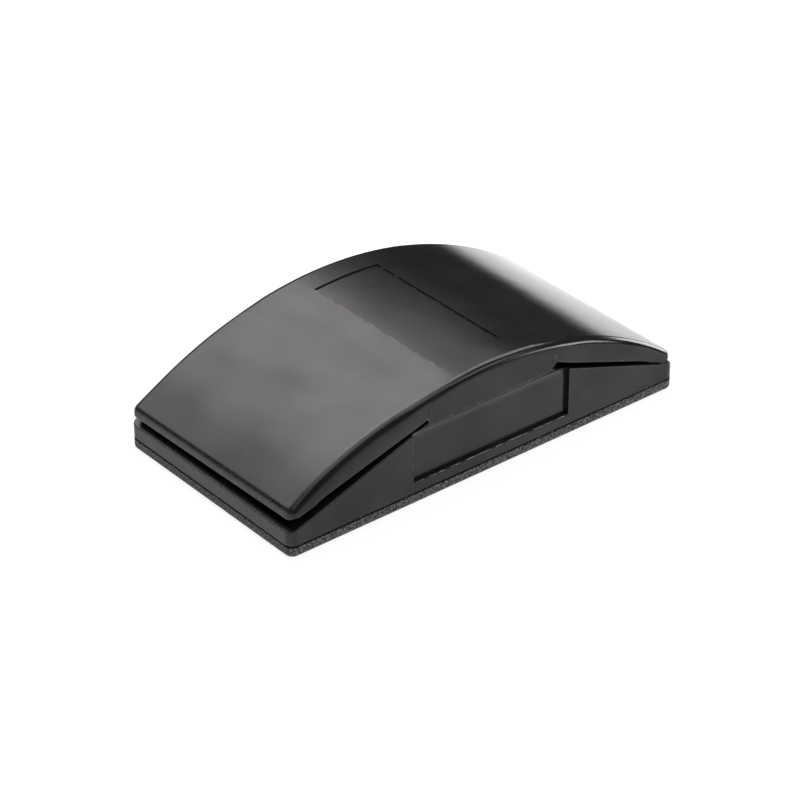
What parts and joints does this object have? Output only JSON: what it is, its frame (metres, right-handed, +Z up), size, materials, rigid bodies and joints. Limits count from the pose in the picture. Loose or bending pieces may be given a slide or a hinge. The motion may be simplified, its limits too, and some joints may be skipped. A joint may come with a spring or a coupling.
{
  "type": "sanding block",
  "caption": "Arched rubber hand sanding block with a flat face below and a spring flap at each end that grips a paper strip on steel pins.",
  "frame": {"origin": "centre of the flat sanding face on the block's underside", "axes": "+X along the block towards the far flap, +Y across the block, +Z up through the crown, away from the sanding face"},
  "size_m": [0.127, 0.0666, 0.0314],
  "materials": {
    "rubber_body": "satin moulded",
    "rubber_sole": "matt grained",
    "steel_pin": "drawn wire"
  },
  "bodies": {
    "body": {"body_core": "rubber_body", "base_sole": "rubber_sole", "near_hinge_web": "rubber_body", "far_hinge_web": "rubber_body", "near_pin_1": "steel_pin", "near_pin_2": "steel_pin", "near_pin_3": "steel_pin", "far_pin_1": "steel_pin", "far_pin_2": "steel_pin", "far_pin_3": "steel_pin"},
    "near_flap": {"near_flap": "rubber_body"},
    "far_flap": {"far_flap": "rubber_body"}
  },
  "joints": [
    {"name": "near_flap_lift", "type": "hinge", "parent": "body", "child": "near_flap", "pos_m": [-0.0245, 0, 0.0262], "axis": [0, 1, 0], "range_deg": [-2.2, 60], "stiffness_Nm_per_rad": 1, "deforming": ["near_hinge_web"]},
    {"name": "far_flap_lift", "type": "hinge", "parent": "body", "child": "far_flap", "pos_m": [0.0245, 0, 0.0262], "axis": [0, -1, 0], "range_deg": [-0.7, 60], "stiffness_Nm_per_rad": 1, "deforming": ["far_hinge_web"]}
  ]
}
